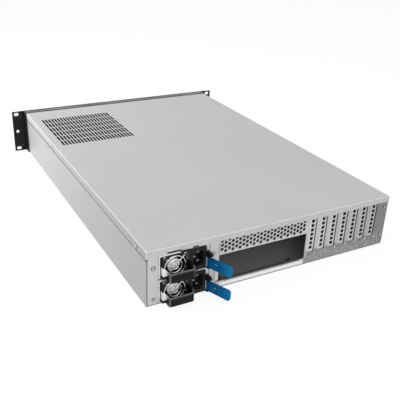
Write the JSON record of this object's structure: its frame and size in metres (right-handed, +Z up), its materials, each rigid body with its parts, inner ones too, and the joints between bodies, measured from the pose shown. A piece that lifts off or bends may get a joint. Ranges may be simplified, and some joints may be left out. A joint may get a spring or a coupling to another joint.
{
  "type": "rackmount server case",
  "caption": "Empty low rackmount server case with rack ears, a removable top cover, slot covers and two hot-swap power supplies at the rear.",
  "frame": {"origin": "middle of the case's underside, half way along its depth", "axes": "+Y to the rear, where the power supplies are; +Z up; +X to the power supply side"},
  "size_m": [0.4826, 0.6958, 0.088],
  "materials": {
    "body_steel": "galvanised satin",
    "cover_steel": "satin light grey",
    "black_steel": "satin black",
    "screw_steel": "bright",
    "slot_steel": "satin",
    "brass": "plain",
    "board_green": "matte",
    "black_plastic": "matte",
    "rotor_white": "satin",
    "rotor_black": "satin",
    "chrome_wire": "bright",
    "lever_blue": "satin",
    "lamp_lens": "clear"
  },
  "bodies": {
    "case": {"base_tray": "body_steel", "rear_panel": "body_steel", "rear_panel_screws": "screw_steel", "front_panel": "black_steel", "ear_left": "black_steel", "ear_right": "black_steel", "ear_screws": "screw_steel", "slot_ledge": "body_steel", "slot_screws": "screw_steel", "standoffs": "brass", "psu_cage": "body_steel", "power_board": "board_green", "power_sockets": "black_plastic", "fan_wall": "body_steel", "drive_cage_left": "black_steel", "drive_cage_right": "black_steel", "control_board": "board_green", "usb_ports": "chrome_wire", "status_lamps": "lamp_lens", "slot_cover_1": "slot_steel", "slot_cover_2": "slot_steel", "slot_cover_3": "slot_steel", "slot_cover_4": "slot_steel", "slot_cover_5": "slot_steel", "slot_cover_6": "slot_steel", "slot_cover_7": "slot_steel", "fan_frame_1": "black_plastic", "fan_frame_2": "black_plastic", "fan_frame_3": "black_plastic"},
    "cover": {"top_cover": "cover_steel", "cover_screws": "screw_steel"},
    "power_button_body": {"power_button": "black_plastic"},
    "reset_button_body": {"reset_button": "black_plastic"},
    "fan_1": {"fan_rotor_1": "rotor_black"},
    "fan_2": {"fan_rotor_2": "rotor_black"},
    "fan_3": {"fan_rotor_3": "rotor_black"},
    "psu_1": {"psu_1_shell": "body_steel", "psu_1_board": "board_green", "psu_1_fan_frame": "black_plastic", "psu_1_fan_guard": "chrome_wire", "psu_1_fan_screws": "black_steel", "psu_1_inlet": "black_plastic", "psu_1_inlet_pins": "chrome_wire", "psu_1_handle": "black_steel", "psu_1_latch_block": "black_plastic"},
    "psu_1_fan": {"psu_1_fan_rotor": "rotor_white"},
    "psu_1_latch": {"psu_1_lever": "lever_blue", "psu_1_latch_arm": "screw_steel"},
    "psu_2": {"psu_2_shell": "body_steel", "psu_2_board": "board_green", "psu_2_fan_frame": "black_plastic", "psu_2_fan_guard": "chrome_wire", "psu_2_fan_screws": "black_steel", "psu_2_inlet": "black_plastic", "psu_2_inlet_pins": "chrome_wire", "psu_2_handle": "black_steel", "psu_2_latch_block": "black_plastic"},
    "psu_2_fan": {"psu_2_fan_rotor": "rotor_white"},
    "psu_2_latch": {"psu_2_lever": "lever_blue", "psu_2_latch_arm": "screw_steel"}
  },
  "joints": [
    {"name": "cover_lift", "type": "slide", "parent": "case", "child": "cover", "axis": [0, 0, 1], "range_m": [0, 0.15]},
    {"name": "power_button_press", "type": "slide", "parent": "case", "child": "power_button_body", "axis": [0, 1, 0], "range_m": [0, 0.0015], "stiffness_N_per_m": 600},
    {"name": "reset_button_press", "type": "slide", "parent": "case", "child": "reset_button_body", "axis": [0, 1, 0], "range_m": [0, 0.0015], "stiffness_N_per_m": 600},
    {"name": "fan_1_spin", "type": "hinge", "parent": "case", "child": "fan_1", "pos_m": [-0.11, -0.063, 0.0415], "axis": [0, 1, 0], "continuous": true},
    {"name": "fan_2_spin", "type": "hinge", "parent": "case", "child": "fan_2", "pos_m": [0, -0.063, 0.0415], "axis": [0, 1, 0], "continuous": true},
    {"name": "fan_3_spin", "type": "hinge", "parent": "case", "child": "fan_3", "pos_m": [0.11, -0.063, 0.0415], "axis": [0, 1, 0], "continuous": true},
    {"name": "psu_1_slide", "type": "slide", "parent": "case", "child": "psu_1", "axis": [0, 1, 0], "range_m": [0, 0.195]},
    {"name": "psu_1_fan_spin", "type": "hinge", "parent": "psu_1", "child": "psu_1_fan", "pos_m": [0.17395, 0.325, 0.0203], "axis": [0, 1, 0], "continuous": true},
    {"name": "psu_1_latch_squeeze", "type": "hinge", "parent": "psu_1", "child": "psu_1_latch", "pos_m": [0.12075, 0.329, 0.01155], "axis": [0, 0, -1], "range_deg": [0, 12], "stiffness_Nm_per_rad": 0.3},
    {"name": "psu_2_slide", "type": "slide", "parent": "case", "child": "psu_2", "axis": [0, 1, 0], "range_m": [0, 0.195]},
    {"name": "psu_2_fan_spin", "type": "hinge", "parent": "psu_2", "child": "psu_2_fan", "pos_m": [0.17395, 0.325, 0.0591], "axis": [0, 1, 0], "continuous": true},
    {"name": "psu_2_latch_squeeze", "type": "hinge", "parent": "psu_2", "child": "psu_2_latch", "pos_m": [0.12075, 0.329, 0.05035], "axis": [0, 0, -1], "range_deg": [0, 12], "stiffness_Nm_per_rad": 0.3}
  ]
}
